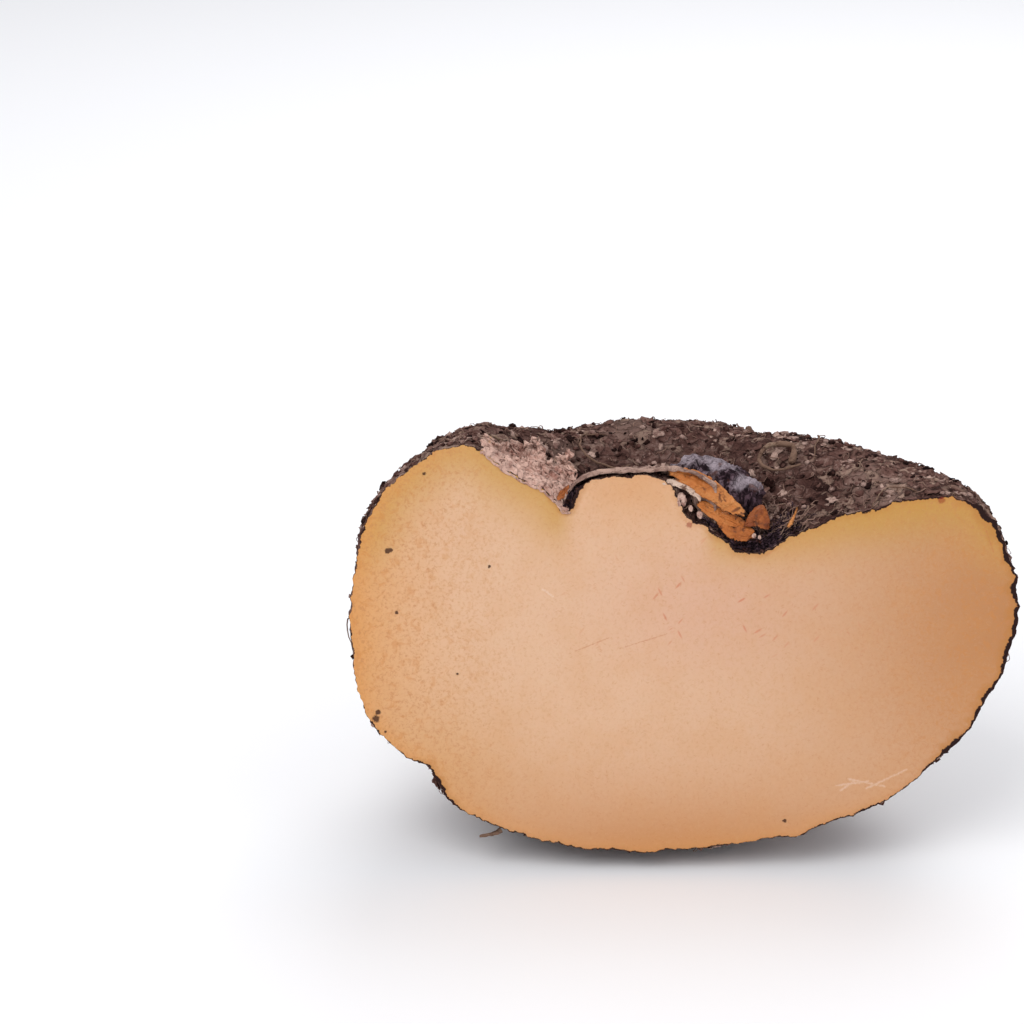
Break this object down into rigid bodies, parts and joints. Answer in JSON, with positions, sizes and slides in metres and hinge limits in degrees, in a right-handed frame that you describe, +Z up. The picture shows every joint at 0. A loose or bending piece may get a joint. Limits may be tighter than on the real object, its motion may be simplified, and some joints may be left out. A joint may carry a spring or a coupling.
{
  "type": "half elephant foot yam",
  "caption": "Squat rough-skinned corm cut in half upright through its crown, with a flat pale flesh face, a sunken crown with a bud mound, dry scales and rootlets.",
  "frame": {"origin": "centre of the bounding box, on the floor", "axes": "+X along the widest width of the cut face, -Y out of the cut face, +Z up with the corm resting on its underside and leaning 10 degrees back"},
  "size_m": [0.2202, 0.116, 0.1432],
  "materials": {
    "skin": "rough corky skin with dried soil and root scars",
    "flesh": "fresh cut, moist, fine grained, peach to orange",
    "papery_scale": "dry and papery",
    "torn_scale": "torn fibrous tissue",
    "old_leaf_base": "dried, dark and fuzzy",
    "root": "dry and fibrous"
  },
  "bodies": {
    "root": {"corm_half": "skin", "papery_scale": "papery_scale", "bud_scale": "papery_scale", "torn_scale": "torn_scale", "old_leaf_base": "old_leaf_base", "rootlet_rim_stub": "root", "rootlet_crown_curl": "root", "rootlet_shoulder": "root", "rootlet_back_loop": "root", "rootlet_left_long": "root", "rootlet_right_low": "root"}
  },
  "joints": []
}
